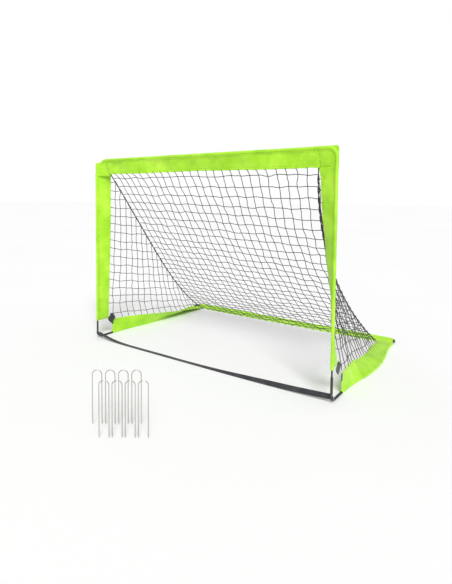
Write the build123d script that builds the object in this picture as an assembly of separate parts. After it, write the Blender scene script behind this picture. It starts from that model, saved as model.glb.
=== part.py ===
from build123d import *
import os
from math import asin, atan, cos, degrees, radians, sin

# Pop up goal, standing on the ground. Millimetres, +Z up, +X along the crossbar to the
# right, +Y from the goal line to the rear bar. The origin is on the ground, in the middle
# of the goal line.

# ------------------------------------------------------------------ driving dimensions
GOAL_W = 1200.0  # between the centre lines of the uprights
GOAL_H = 900.0  # ground to the top of the crossbar sleeve
GOAL_D = 900.0  # goal line to the centre line of the rear bar
ROD_R = 3.0  # fibreglass rod
TUBE_R = 4.5  # outside of every ferrule and elbow
BORE_R = 3.15  # inside of every ferrule and elbow
BEND_R = 35.0  # rounded frame corners at the rear
TOP_BEND_R = {"left": 75.0, "right": 35.0}  # rounded corners at the top
SOCKET = 40.0  # straight socket on each end of an elbow
FERRULE_L = 90.0  # ferrule in the middle of the crossbar and of the rear bar
CLEAR = 0.3  # gap round a piece that isn't fastened to its neighbour
CLOTH = 1.0  # doubled fabric
BAND = 76.0  # fabric band, from the outside of the rod to the net
SPRING_R = 28.0  # bend of the flexible bottom corner
SPRING_WIRE_R = 3.85  # outside radius of the close-wound corner spring
SPRING_GAP = 1.0  # from the end of a corner spring to its ferrule
FERRULE_TOP = 94.0  # top of the upright ferrule above the ground
RAIL_FERRULE_END = 99.0  # rear end of the side rail's front ferrule
UPRIGHT_SLEEVE_LOW = {"left": 90.0, "right": 120.0}  # lower end of each upright sleeve
RAIL_BOW = 30.0  # both side rails bend towards +X in the middle
SLEEVE_FRONT = 103.0  # front end of the side sleeves
BOW_FRONT = 105.0  # where a rail starts to bend, behind its front ferrule
CROSSBAR_TILT = 20.0  # the net pulls the crossbar's flap back, degrees
TWIST_HIGH, TWIST_LOW = 25.0, 85.0  # the uprights' flaps turn back, top and bottom, degrees
PATCH_CORNER_R = 8.0  # outer corner of each corner patch
PATCH_DROP = {"left": 17.0, "right": 0.0}  # its outer corner hangs this far down
PATCH_DROP_W = 50.0  # width of the lowered stretch
NET_T = 1.5  # net panel
NET_EDGE = 8.0  # from a net panel to the fabric that it is sewn to
NET_SAG = 90.0  # the back net hangs this far below its chord
SEAM_IN = 65.0  # the seams between the back net and the side nets pull in this far
CORD_R = 2.0  # edge cord along each of those seams
TAB_SIDE, TAB_T = 34.0, 1.6  # square reinforcement tab
TAB_IN, TAB_Y = 8.5, 90.0  # its centre, in from the upright and back from the goal line
TAB_Z = {"left": 86.0, "right": 100.0}  # its centre above the ground
STRAP_W, STRAP_T = 20.0, 1.6
STRAP_Y = 6.0  # the strap runs this far behind the goal line
LOOP_R, LOOP_W = 5.6, 16.0  # inside and width of the strap's loop round a corner spring
STAKE_H, STAKE_W, STAKE_R = 178.0, 30.0, 1.5  # height, leg to leg, wire radius
STAKE_POINT = 8.0  # length of the pointed tips
STAKE_ROWS = ((70.0, -611.0, 41.6), (148.0, -655.0, 39.4))  # x, y, pitch of each row
STAKES_PER_ROW = 4
STAKE_TURN = 38.1  # the rows run this far from +X towards +Y, degrees

# ------------------------------------------------------------------ worked out from them
SIDES = {"left": -1, "right": 1}
HALF_W = GOAL_W / 2
CHANNEL_R = TUBE_R + CLEAR
SLEEVE_R = CHANNEL_R + CLOTH
BASE_Z = SLEEVE_R  # centre line of the rods that lie on the ground
TOP_Z = GOAL_H - SLEEVE_R
FLAP = BAND - SLEEVE_R  # from a rod's centre line to the net edge of its band
INNER_X = HALF_W - FLAP
SPRING_TOP = BASE_Z + SPRING_R
ROD_END_GAP = 0.5

os.makedirs("parts", exist_ok=True)


def save(shape, node):
    """Write one node."""
    export_step(shape, os.path.join("parts", node + ".step"))


def swept(path, radius):
    """A round bar of this radius along a path of lines and tangent arcs."""
    start = Plane(origin=path @ 0, z_dir=path % 0)
    return sweep(start * Circle(radius), path=path)


def pipe(path, outer, inner):
    """A hollow bar along a path."""
    return swept(path, outer) - swept(path, inner)


def straight(start, end, radius):
    return swept(Line(start, end), radius)


def between(low, high, count):
    """Evenly spaced values, both ends included."""
    return [low + (high - low) * i / (count - 1) for i in range(count)]


def flap_section(centre, along, outward, turn):
    """A band's cross-section: a thin strip that leaves the rod at an angle.

    outward is the strip's direction with no turn, and turn swings it about along."""
    aim = Vector(*outward).rotate(Axis((0, 0, 0), along), turn)
    plane = Plane(origin=centre, x_dir=aim, z_dir=along)
    reach = FLAP - CHANNEL_R
    return plane * Pos(CHANNEL_R + reach / 2, 0) * Rectangle(reach, CLOTH)


# ------------------------------------------------------------------ front frame
def upright(side, sign):
    x = sign * HALF_W
    low, high = SPRING_TOP + SPRING_GAP, TOP_Z - TOP_BEND_R[side]
    save(pipe(Line((x, 0, low), (x, 0, FERRULE_TOP)), TUBE_R, BORE_R), "upright_ferrule_" + side)
    rod = straight((x, 0, low + SOCKET / 2), (x, 0, high), ROD_R)
    save(rod, "upright_rod_" + side)

    sleeve_low, sleeve_high = UPRIGHT_SLEEVE_LOW[side], TOP_Z - FLAP
    sections = []
    for share in between(0, 1, 6):
        z = sleeve_low + (sleeve_high - sleeve_low) * share
        twist = TWIST_LOW + (TWIST_HIGH - TWIST_LOW) * share
        sections.append(flap_section((x, 0, z), (0, 0, 1), (-sign, 0, 0), -sign * twist))
    tube = straight((x, 0, sleeve_low), (x, 0, sleeve_high), SLEEVE_R)
    channel = straight((x, 0, sleeve_low - 1), (x, 0, sleeve_high + 1), CHANNEL_R)
    save(tube + loft(sections) - channel, "upright_sleeve_" + side)


def top_elbow(side, sign):
    """The bent tube in a top corner, and the fabric patch sewn over it."""
    x, bend = sign * HALF_W, TOP_BEND_R[side]
    turn_in = x - sign * (bend + SOCKET)
    corners = [(x, 0, TOP_Z - bend - SOCKET), (x, 0, TOP_Z), (turn_in, 0, TOP_Z)]
    path = FilletPolyline(*corners, radius=bend)
    save(pipe(path, TUBE_R, BORE_R), "top_elbow_" + side)

    outer, inner = sign * (HALF_W + SLEEVE_R), sign * (INNER_X + CLEAR)
    top, low, step = TOP_Z + SLEEVE_R, TOP_Z - FLAP + CLEAR, outer - sign * PATCH_DROP_W
    tip, drop = (outer, top - PATCH_DROP[side]), (step, top - PATCH_DROP[side])
    panel = make_face(Polyline((outer, low), tip, drop, (inner, top), (inner, low), close=True))
    panel = fillet(panel.vertices().sort_by_distance(tip)[0], PATCH_CORNER_R)
    panel = Plane.XZ * extrude(panel, amount=CLOTH / 2, both=True)
    width, height = abs(outer - inner), top - low
    window = Pos((outer + inner) / 2, 0, (top + low) / 2) * Box(width, 4 * SLEEVE_R, height)
    cover = (swept(path, SLEEVE_R) & window) + panel - swept(path, CHANNEL_R)
    save(cover, "corner_patch_" + side)


def crossbar():
    for side, sign in SIDES.items():
        end = HALF_W - TOP_BEND_R[side]
        rod = straight((sign * ROD_END_GAP, 0, TOP_Z), (sign * end, 0, TOP_Z), ROD_R)
        save(rod, "crossbar_rod_" + side)
    half = FERRULE_L / 2
    save(pipe(Line((-half, 0, TOP_Z), (half, 0, TOP_Z)), TUBE_R, BORE_R), "crossbar_ferrule")

    tube = straight((-INNER_X, 0, TOP_Z), (INNER_X, 0, TOP_Z), SLEEVE_R)
    channel = straight((-HALF_W, 0, TOP_Z), (HALF_W, 0, TOP_Z), CHANNEL_R)
    section = flap_section((-INNER_X, 0, TOP_Z), (1, 0, 0), (0, 0, -1), CROSSBAR_TILT)
    flap = extrude(section, amount=2 * INNER_X, dir=(1, 0, 0))
    save(tube + flap - channel, "crossbar_sleeve")


# ------------------------------------------------------------------ base
def rail_path(x, front, rear):
    """A side rail's centre line: straight in its two sockets, bowed by three equal arcs."""
    bow_rear = GOAL_D - BEND_R - SOCKET
    half_span = (bow_rear - BOW_FRONT) / 2
    turn = 2 * degrees(atan(RAIL_BOW / half_span))
    radius = half_span / (2 * sin(radians(turn)))
    lead = Line((0, front), (0, BOW_FRONT))
    out = JernArc(start=lead @ 1, tangent=lead % 1, radius=radius, arc_size=-turn)
    middle = JernArc(start=out @ 1, tangent=out % 1, radius=radius, arc_size=2 * turn)
    back = JernArc(start=middle @ 1, tangent=middle % 1, radius=radius, arc_size=-turn)
    tail = Line(back @ 1, (back @ 1) + Vector(0, rear - bow_rear))
    return Pos(x, 0, BASE_Z) * Wire([lead, out, middle, back, tail])


def side_rail(side, sign):
    x = sign * HALF_W
    front = SPRING_R + SPRING_GAP
    ferrule = Line((x, front, BASE_Z), (x, RAIL_FERRULE_END, BASE_Z))
    save(pipe(ferrule, TUBE_R, BORE_R), "rail_ferrule_" + side)
    save(swept(rail_path(x, front + SOCKET / 2, GOAL_D - BEND_R), ROD_R), "rail_rod_" + side)

    rear = GOAL_D - FLAP - CLEAR
    path = rail_path(x, SLEEVE_FRONT, rear)
    lying = -degrees(asin((BASE_Z - CLOTH / 2) / FLAP))
    sections = []
    for share in between(0, 1, 8):
        turn = 90 + (lying - 90) * share
        sections.append(flap_section(path @ share, (0, 1, 0), (-sign, 0, 0), sign * turn))
    channel = swept(rail_path(x, SLEEVE_FRONT - 1, rear + 1), CHANNEL_R)
    save(swept(path, SLEEVE_R) + loft(sections) - channel, "side_sleeve_" + side)


def rear_bar():
    end = HALF_W - BEND_R
    for side, sign in SIDES.items():
        rod = straight((sign * ROD_END_GAP, GOAL_D, BASE_Z), (sign * end, GOAL_D, BASE_Z), ROD_R)
        save(rod, "rear_bar_rod_" + side)
        x = sign * HALF_W
        turn_in = x - sign * (BEND_R + SOCKET)
        corners = [
            (x, GOAL_D - BEND_R - SOCKET, BASE_Z),
            (x, GOAL_D, BASE_Z),
            (turn_in, GOAL_D, BASE_Z),
        ]
        elbow = pipe(FilletPolyline(*corners, radius=BEND_R), TUBE_R, BORE_R)
        save(elbow, "rear_elbow_" + side)
    half = FERRULE_L / 2
    ferrule = Line((-half, GOAL_D, BASE_Z), (half, GOAL_D, BASE_Z))
    save(pipe(ferrule, TUBE_R, BORE_R), "rear_bar_ferrule")

    reach = HALF_W - BEND_R
    tube = straight((-reach, GOAL_D, BASE_Z), (reach, GOAL_D, BASE_Z), SLEEVE_R)
    channel = straight((-HALF_W, GOAL_D, BASE_Z), (HALF_W, GOAL_D, BASE_Z), CHANNEL_R)
    flap = Pos(0, GOAL_D - FLAP / 2, CLOTH / 2) * Box(2 * HALF_W, FLAP, CLOTH)
    rear_edges = flap.edges().filter_by(Axis.Z).sort_by(Axis.Y)[-2:]
    save(tube + fillet(rear_edges, BEND_R) - channel, "rear_sleeve")


# ------------------------------------------------------------------ bottom front corners
def corner_spring(side, sign):
    x = sign * HALF_W
    rear, high = (x, SPRING_R, BASE_Z), (x, 0, SPRING_TOP)
    middle = SPRING_R * (1 - cos(radians(45)))
    path = ThreePointArc(high, (x, middle, BASE_Z + middle), rear)
    save(swept(path, SPRING_WIRE_R), "corner_spring_" + side)


def ribbon(stations):
    """Webbing through stations along X: place, height of its centre line, and roll."""
    sections = []
    for x, z, roll in stations:
        across = (0, cos(radians(roll)), sin(radians(roll)))
        plane = Plane(origin=(x, STRAP_Y, z), x_dir=across, z_dir=(1, 0, 0))
        sections.append(plane * Rectangle(STRAP_W, STRAP_T))
    return loft(sections, ruled=True)


def strap_end(side, stations, place):
    """A tail of webbing and its loop round the corner spring, this far down the bend."""
    turn = radians(place)
    back, down = SPRING_R * (1 - cos(turn)), SPRING_R * sin(turn)
    centre = (SIDES[side] * HALF_W, back, SPRING_TOP - down)
    axis = Plane(origin=centre, z_dir=(0, sin(turn), -cos(turn)))
    ring = Cylinder(LOOP_R + STRAP_T, LOOP_W) - Cylinder(LOOP_R, LOOP_W)
    tail = ribbon(stations) - axis * Cylinder(LOOP_R, 2 * STRAP_W)
    save(axis * ring + tail, "strap_end_" + side)


def strap():
    """The strap across the goal line: its middle on the ground, and its two ends."""
    rest = STRAP_T / 2
    middle = [(-468, 4.8, 0), (-400, rest, 0), (0, rest, 0), (277, 6.5, 30), (440, 12.5, 55)]
    save(ribbon(middle), "front_strap")
    strap_end("left", [(-596, 27, 0), (-536, 14, 0), (-470, 5, 0)], 20.0)
    strap_end("right", [(442, 12.6, 55), (520, 17, 65), (596, 22, 72)], 30.0)


# ------------------------------------------------------------------ net
def net_run():
    """The back net's upper and lower edge and its lowest middle, as (y, z)."""
    tilt = radians(CROSSBAR_TILT)
    high = (FLAP * sin(tilt) + NET_EDGE, TOP_Z - FLAP * cos(tilt) - NET_EDGE)
    low = (GOAL_D - FLAP - NET_EDGE, CLOTH + NET_EDGE)
    fall = NET_SAG * sin(radians(45))
    middle = ((high[0] + low[0]) / 2 - fall, (high[1] + low[1]) / 2 - fall)
    return high, middle, low


def back_net():
    """A sheet that hangs in one arc, with its two sides pulled in."""
    high, middle, low = net_run()
    half = INNER_X - 2.5 * NET_EDGE
    arc = ThreePointArc(high, middle, low)
    strip = make_face(Wire([arc]).offset_2d(NET_T / 2))
    sheet = extrude(Plane.YZ * strip, amount=half, both=True)
    sides = [
        ThreePointArc((side * half, high[1]), (side * (half - SEAM_IN), middle[1]), (side * half, low[1]))
        for side in (-1, 1)
    ]
    lines = [Line(sides[0] @ 0, sides[1] @ 0), Line(sides[0] @ 1, sides[1] @ 1)]
    outline = Plane.XZ * make_face(sides + lines)
    save(sheet & extrude(outline, amount=-GOAL_D), "net_back")


def seam(sign):
    """The line where the back net and a side net meet."""
    high, middle, low = net_run()
    x = sign * (INNER_X - NET_EDGE)
    return ThreePointArc((x, *high), (x - sign * SEAM_IN, *middle), (x, *low))


def side_net(side, sign):
    """A sheet that fans out from its seam to the upright's band and the side band."""
    edge = [upright_edge(side, sign, share) for share in (0.1, 0.35, 0.65, 0.9)]
    edge += [rail_edge(sign, share) for share in (0.05, 0.3, 0.55, 0.8)]
    shares = (0.09, 0.2, 0.32, 0.43, 0.52, 0.64, 0.76, 0.88)
    sections = []
    for outer, share in zip(edge, shares):
        reach = (seam(sign) @ share) - outer
        inner = outer + reach * (1 - NET_EDGE / reach.length)
        facing = reach.cross(Vector(1, 0, 0))
        plane = Plane(origin=(outer + inner) / 2, x_dir=reach, z_dir=facing)
        sections.append(plane * Rectangle((inner - outer).length, NET_T))
    save(loft(sections, ruled=True), "net_side_" + side)


def upright_edge(side, sign, share):
    """A point just off the net edge of an upright's band, from its top down."""
    low, high = UPRIGHT_SLEEVE_LOW[side], TOP_Z - FLAP
    twist = radians(TWIST_HIGH + (TWIST_LOW - TWIST_HIGH) * share)
    reach = FLAP + NET_EDGE
    z = high + (low - high) * share
    return Vector(sign * (HALF_W - reach * cos(twist)), reach * sin(twist), z)


def rail_edge(sign, share):
    """A point just off the net edge of a side band, from its front back."""
    centre = rail_path(sign * HALF_W, SLEEVE_FRONT, GOAL_D - FLAP) @ share
    turn = radians(90 * (1 - share))
    reach = FLAP + 2 * NET_EDGE
    return centre + Vector(-sign * reach * cos(turn), 0, reach * sin(turn))


def tab(side, sign):
    """The stiff patch between the lower end of an upright sleeve and its side sleeve."""
    plate = Rotation(45, 0, 0) * Box(TAB_T, TAB_SIDE, TAB_SIDE)
    place = Pos(sign * (HALF_W - TAB_IN), TAB_Y, TAB_Z[side])
    save(place * plate, "net_tab_" + side)


# ------------------------------------------------------------------ stakes
def stakes():
    """Eight U pins that stand on their points in two staggered rows."""
    bend = STAKE_W / 2
    path = FilletPolyline(
        (-bend, 0, STAKE_POINT),
        (-bend, 0, STAKE_H - STAKE_R),
        (bend, 0, STAKE_H - STAKE_R),
        (bend, 0, STAKE_POINT),
        radius=bend - 0.5,
    )
    pin = swept(path, STAKE_R)
    for x in (-bend, bend):
        pin += Pos(x, 0, STAKE_POINT / 2) * Cone(0.3, STAKE_R, STAKE_POINT)
    turn = radians(STAKE_TURN)
    for row, (x, y, pitch) in enumerate(STAKE_ROWS):
        for i in range(STAKES_PER_ROW):
            reach = i * pitch
            place = Pos(x + reach * cos(turn), y + reach * sin(turn), 0)
            number = row * STAKES_PER_ROW + i + 1
            save(place * Rotation(0, 0, STAKE_TURN) * pin, "ground_stake_%d" % number)


for side, sign in SIDES.items():
    upright(side, sign)
    top_elbow(side, sign)
    side_rail(side, sign)
    corner_spring(side, sign)
crossbar()
rear_bar()
strap()
back_net()
for side, sign in SIDES.items():
    save(swept(seam(sign), CORD_R), "net_corner_cord_" + side)
    side_net(side, sign)
    tab(side, sign)
stakes()
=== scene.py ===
from math import atan, atan2, cos, hypot, pi, radians, sin, sqrt

import bmesh
import bpy
import numpy as np
from mathutils import Matrix, Vector, noise

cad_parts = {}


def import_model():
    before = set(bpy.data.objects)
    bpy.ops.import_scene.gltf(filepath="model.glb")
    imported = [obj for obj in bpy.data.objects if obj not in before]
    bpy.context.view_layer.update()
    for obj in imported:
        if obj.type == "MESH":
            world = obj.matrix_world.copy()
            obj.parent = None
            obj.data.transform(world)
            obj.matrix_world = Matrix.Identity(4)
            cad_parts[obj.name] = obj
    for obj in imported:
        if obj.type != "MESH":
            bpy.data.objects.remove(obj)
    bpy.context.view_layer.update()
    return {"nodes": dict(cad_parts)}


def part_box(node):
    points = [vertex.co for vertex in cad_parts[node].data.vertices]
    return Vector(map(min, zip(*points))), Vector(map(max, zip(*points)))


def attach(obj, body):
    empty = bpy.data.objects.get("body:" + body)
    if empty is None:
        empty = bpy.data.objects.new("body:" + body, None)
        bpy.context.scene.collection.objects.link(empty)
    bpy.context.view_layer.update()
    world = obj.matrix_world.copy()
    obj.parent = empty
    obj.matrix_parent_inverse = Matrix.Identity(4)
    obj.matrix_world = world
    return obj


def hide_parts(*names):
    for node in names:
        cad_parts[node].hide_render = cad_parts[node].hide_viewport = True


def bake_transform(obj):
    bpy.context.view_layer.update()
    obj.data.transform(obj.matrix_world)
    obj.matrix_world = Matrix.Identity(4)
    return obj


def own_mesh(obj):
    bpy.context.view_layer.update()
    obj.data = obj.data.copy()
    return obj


# The looks of a pop up goal: fabric bands round a rod frame, a knotted net, a ground strap
# and eight stakes. Metres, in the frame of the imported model.

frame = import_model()

SIDES = {"left": -1, "right": 1}
MM = 0.001


def middle(node):
    low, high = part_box(node)
    return (low + high) / 2


# ------------------------------------------------------------------ places read from the frame
HALF_W = middle("upright_rod_right").x
TOP_Z = middle("crossbar_rod_right").z
BASE_Z = middle("rear_bar_rod_right").z
DEPTH = middle("rear_bar_rod_right").y
SLEEVE_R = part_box("crossbar_sleeve")[1].z - TOP_Z
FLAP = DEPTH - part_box("rear_sleeve")[0].y
INNER_X = HALF_W - FLAP
SLEEVE_LOW = {side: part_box("upright_sleeve_" + side)[0].z for side in SIDES}
SLEEVE_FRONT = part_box("side_sleeve_left")[0].y
ROD_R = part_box("crossbar_rod_right")[1].z - TOP_Z
RAIL_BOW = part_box("rail_rod_right")[1].x - HALF_W - ROD_R
SPRING_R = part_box("corner_spring_right")[1].y
SPRING_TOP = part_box("corner_spring_right")[1].z
SPRING_OUTER = BASE_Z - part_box("corner_spring_right")[0].z
STRAP_Y = middle("front_strap").y

# ------------------------------------------------------------------ design values
REAR_WRAP = 58.0  # degrees of a rear elbow that the rear tube of fabric covers
BOW_FRONT, BOW_REAR = 0.105, 0.825  # the side rails bend between these two
BEND_R = 0.035  # rounded frame corners at the rear
TOP_BEND = {"left": 0.075, "right": 0.035}  # rounded corners at the top
CROSSBAR_TILT = 20.0  # the net pulls the crossbar's flap back, degrees
TWIST_HIGH = {"left": 45.0, "right": 16.0}  # the uprights' flaps turn back, at the top
TWIST_LOW = 85.0  # and at the bottom
REAR_DIP = 0.072  # the rear flap slopes down towards the goal mouth by this share
RAIL_TURN = 94.3  # degrees that a side band's flap turns down, from upright at its front end
CORNER_PULL = 0.026  # the inner corner of a corner cover lies this far back
SLUMP_Z = 0.8830  # top of the left corner cover where its cloth has slumped
STATION = 0.006  # between two cross-sections of a band
LAYER = 0.7 * MM  # half of the doubled fabric
HEM = 0.010  # from the net edge to the hem's stitches
CHANNEL_SEAM = 0.013  # from the rod's centre line to the channel's stitches
STITCH_PITCH = 0.006
CROSS_SQUARES, SLOPE_SQUARES = 26, 28  # squares of the back net
KNOT_PITCH = 0.0406  # between two knots on a net edge
KNOT_INSET = 2.5 * MM  # the outermost knots lie this far inside a flap's edge
TOP_ROW = 0.45  # the uppermost row of squares is shorter by this share
SIDE_SQUARES = 18  # squares of a side net along each of its two straight edges
SEAM_X = 0.527  # the net's seams start here
SEAM_IN = {-1: 0.074, 1: 0.046}  # and pull in this far, left and right
NET_SAG = 0.092  # the back net's middle hangs this far below a straight slope
SIDE_EARLY = 0.085  # the side nets' knots crowd to the front by up to this share of the depth
SIDE_BELLY = (0.007, 0.006)  # a side net's middle hangs in and down by this
SIDE_LIFT = 0.012  # its lowest rows are drawn up by this
SIDE_SHAKE = (0.0028, 0.0034, 0.0034)  # its knots are off their places by up to this
BACK_SHAKE = (0.0034, 0.0026, 0.0034)  # and those of the back net
TWINE_R = 1.5 * MM
SUB_POINTS = 3  # points on a thread from one knot to the next
SKY = 0.55  # strength of the sky's light

random = np.random.default_rng(7)


# ------------------------------------------------------------------ mesh helpers
def build(name, verts, faces, material, cloth=None):
    """A mesh object. cloth gives each vertex its place on the flat cloth, in metres."""
    mesh = bpy.data.meshes.new(name)
    mesh.from_pydata([tuple(v) for v in verts], [], faces)
    mesh.materials.append(material)
    if cloth is not None:
        layer = mesh.attributes.new("cloth", "FLOAT_VECTOR", "POINT")
        layer.data.foreach_set("vector", np.asarray(cloth, np.float32).ravel())
    solid = bmesh.new()
    solid.from_mesh(mesh)
    bmesh.ops.recalc_face_normals(solid, faces=solid.faces)
    solid.to_mesh(mesh)
    solid.free()
    mesh.shade_smooth()
    piece = bpy.data.objects.new(name, mesh)
    bpy.context.scene.collection.objects.link(piece)
    return piece


def skin(rings, looped=False, capped=True, first=0):
    """Faces that join rings of the same number of points, each ring closed."""
    count, size = rings.shape[:2]
    faces = []
    for i in range(count if looped else count - 1):
        a, b = first + i * size, first + ((i + 1) % count) * size
        for j in range(size):
            k = (j + 1) % size
            faces.append((a + j, a + k, b + k, b + j))
    if capped and not looped:
        half = size // 2
        for a in (first, first + (count - 1) * size):
            for j in range(half - 1):
                faces.append((a + j, a + j + 1, a + size - 2 - j, a + size - 1 - j))
    return faces


def unit(v):
    length = np.linalg.norm(v, axis=-1, keepdims=True)
    return v / np.maximum(length, 1e-12)


def tangents(points):
    return unit(np.gradient(points, axis=0))


def smooth_line(points, per_span):
    """A curve through the points, as Catmull and Rom's spline."""
    points = np.asarray(points, float)
    before = np.vstack([2 * points[0] - points[1], points[:-1]])[:-1]
    after = np.vstack([points[1:], 2 * points[-1] - points[-2]])[1:]
    a, b = points[:-1], points[1:]
    line = []
    for t in np.arange(per_span) / per_span:
        cubic = 2 * a + (b - before) * t + (2 * before - 5 * a + 4 * b - after) * t**2
        cubic += (3 * a - before - 3 * b + after) * t**3
        line.append(0.5 * cubic)
    line = np.stack(line, axis=1).reshape(-1, points.shape[1])
    return np.vstack([line, points[-1:]])


def swept(name, rings, material, cloth=None, looped=False):
    """A skin over a row of rings."""
    rings = np.array(rings)
    return build(name, rings.reshape(-1, 3), skin(rings, looped), material, cloth)


def tube_rings(points, radius, sides, hint=(0.31, 0.53, 0.79)):
    """Rings round a line of points."""
    along = tangents(points)
    across = unit(np.cross(along, np.array(hint)))
    third = np.cross(along, across)
    angles = np.arange(sides) * 2 * pi / sides
    radius = np.broadcast_to(radius, len(points))[:, None, None]
    ring = np.cos(angles)[:, None] * across[:, None] + np.sin(angles)[:, None] * third[:, None]
    return points[:, None] + radius * ring


def tubes(name, lines, radius, sides, material):
    """One mesh of round threads, each along its own line of points."""
    verts, faces, total = [], [], 0
    for line in lines:
        rings = tube_rings(np.asarray(line, float), radius, sides)
        verts.append(rings.reshape(-1, 3))
        faces += skin(rings, capped=False, first=total)
        for end in (0, len(rings) - 1):
            faces.append(tuple(total + end * sides + k for k in range(sides)))
        total += rings.shape[0] * sides
    return build(name, np.concatenate(verts), faces, material)


def join(pieces):
    """The first piece takes in the others, materials included."""
    with bpy.context.temp_override(
        active_object=pieces[0], selected_editable_objects=pieces, selected_objects=pieces
    ):
        bpy.ops.object.join()
    return pieces[0]


# ------------------------------------------------------------------ material helpers
class Shader:
    """A material under way: its node tree and its principled shader."""

    def __init__(self, name, **sockets):
        self.material = bpy.data.materials.new(name)
        self.material.use_nodes = True
        self.tree = self.material.node_tree
        self.main = self.tree.nodes["Principled BSDF"]
        for socket, value in sockets.items():
            self.main.inputs[socket.replace("_", " ")].default_value = value

    def node(self, kind, links=None, **settings):
        made = self.tree.nodes.new("ShaderNode" + kind)
        for key, value in settings.items():
            setattr(made, key, value)
        for socket, source in (links or {}).items():
            if isinstance(source, bpy.types.NodeSocket):
                self.tree.links.new(source, made.inputs[socket])
            else:
                made.inputs[socket].default_value = source
        return made

    def place(self, attribute=None):
        """Where a point is: on its flat cloth, or on its object."""
        if attribute:
            return self.node("Attribute", attribute_name=attribute).outputs["Vector"]
        return self.node("TexCoord").outputs["Object"]

    def grain(self, place, scale, detail=4.0, stretch=(1, 1, 1)):
        scaled = self.node("Mapping", {"Vector": place, "Scale": stretch}).outputs["Vector"]
        made = self.node("TexNoise", {"Vector": scaled, "Scale": scale, "Detail": detail})
        return made.outputs["Fac"]

    def wave(self, place, scale, direction, profile="SIN", distortion=0.0):
        links = {"Vector": place, "Scale": scale, "Distortion": distortion}
        kind = {"bands_direction": direction, "wave_profile": profile}
        return self.node("TexWave", links, **kind).outputs["Fac"]

    def math(self, operation, a, b):
        return self.node("Math", {0: a, 1: b}, operation=operation).outputs[0]

    def ramp(self, value, stops):
        """A colour or grey ramp: stops are (place, colour)."""
        made = self.node("ValToRGB", {"Fac": value})
        ramp = made.color_ramp
        while len(ramp.elements) < len(stops):
            ramp.elements.new(0.5)
        for element, (where, colour) in zip(ramp.elements, stops):
            element.position = where
            element.color = (*colour, 1) if len(colour) == 3 else (colour[0],) * 3 + (1,)
        return made.outputs["Color"]

    def feed(self, socket, source):
        self.tree.links.new(source, self.main.inputs[socket])

    def bump(self, height, distance, strength=1.0, under=None):
        links = {"Height": height, "Distance": distance, "Strength": strength}
        if under is not None:
            links["Normal"] = under
        return self.node("Bump", links).outputs["Normal"]

    def finish(self, value, colours, roughness, normal):
        """Colour and roughness that follow one grey value, each along its own ramp."""
        self.feed("Base Color", self.ramp(value, colours))
        self.feed("Roughness", self.ramp(value, [(where, (grey,)) for where, grey in roughness]))
        self.feed("Normal", normal)
        return self.material


def neon_fabric(name):
    """Woven polyester in neon green, slightly glossy, with fine creases."""
    made = Shader(name, Specular_IOR_Level=0.35, Sheen_Weight=0.12, Sheen_Roughness=0.4)
    cloth, place = made.place("cloth"), made.place()
    shade = made.grain(place, 11.0, 5.0)
    colours = [(0.32, (0.33, 0.69, 0.012)), (0.50, (0.41, 0.80, 0.026)), (0.68, (0.51, 0.87, 0.05))]
    made.feed("Base Color", made.ramp(shade, colours))
    warp = made.wave(cloth, 420.0, "X")
    weft = made.wave(cloth, 420.0, "Y")
    weave = made.math("MAXIMUM", warp, weft)
    folds = made.grain(cloth, 13.0, 3.0, (1.0, 0.6, 1.0))
    creases = made.grain(cloth, 34.0, 6.0, (1.0, 0.55, 1.0))
    broad = made.bump(folds, 9.0 * MM, 0.8)
    fine = made.bump(creases, 2.2 * MM, 0.8, broad)
    made.feed("Normal", made.bump(weave, 0.12 * MM, 0.5, fine))
    made.feed("Roughness", made.ramp(made.grain(place, 60.0), [(0.3, (0.38,)), (0.7, (0.52,))]))
    return made.material


def binding(name):
    """Black bias tape and tabs: a coarse plain weave."""
    made = Shader(name, Specular_IOR_Level=0.3, Sheen_Weight=0.25, Sheen_Roughness=0.5)
    place = made.place()
    weave = made.math("MULTIPLY", made.wave(place, 260.0, "X"), made.wave(place, 260.0, "Z"))
    worn = made.grain(place, 55.0)
    colours = [(0.3, (0.018, 0.018, 0.021)), (0.8, (0.045, 0.045, 0.05))]
    return made.finish(worn, colours, [(0.3, 0.62), (0.8, 0.85)], made.bump(weave, 0.3 * MM, 0.8))


def webbing(name):
    """Dark polyester webbing: ribs along it and a herringbone across."""
    made = Shader(name, Specular_IOR_Level=0.3, Sheen_Weight=0.2, Sheen_Roughness=0.45)
    cloth, place = made.place("cloth"), made.place()
    ribs = made.wave(cloth, 75.0, "Y", distortion=0.6)
    picks = made.wave(cloth, 150.0, "DIAGONAL")
    worn = made.grain(place, 40.0, 6.0)
    colours = [(0.3, (0.026, 0.027, 0.032)), (0.8, (0.062, 0.062, 0.072))]
    weave = made.bump(picks, 0.2 * MM, 0.7, made.bump(ribs, 0.35 * MM, 0.9))
    return made.finish(worn, colours, [(0.3, 0.55), (0.8, 0.8)], weave)


def twine(name, dark, light):
    """Twisted synthetic twine."""
    made = Shader(name, Specular_IOR_Level=0.3, Sheen_Weight=0.3, Sheen_Roughness=0.5)
    place = made.place()
    worn = made.grain(place, 30.0, 5.0)
    fibres = made.wave(place, 330.0, "DIAGONAL", distortion=1.5)
    colours = [(0.3, dark), (0.75, light)]
    return made.finish(worn, colours, [(0.3, 0.6), (0.8, 0.85)], made.bump(fibres, 0.25 * MM, 0.9))


def metal(name, colour, dull, rough, streak=(1, 1, 1)):
    """Bare steel with drawing marks and dull patches."""
    made = Shader(name, Metallic=1.0)
    place = made.place()
    patches = made.grain(place, 28.0, 6.0, streak)
    scratches = made.grain(place, 420.0, 3.0, (1.0, 1.0, 0.06))
    colours, roughness = [(0.3, dull), (0.65, colour)], [(0.3, rough + 0.16), (0.7, rough)]
    return made.finish(patches, colours, roughness, made.bump(scratches, 0.05 * MM, 0.6))


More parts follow.
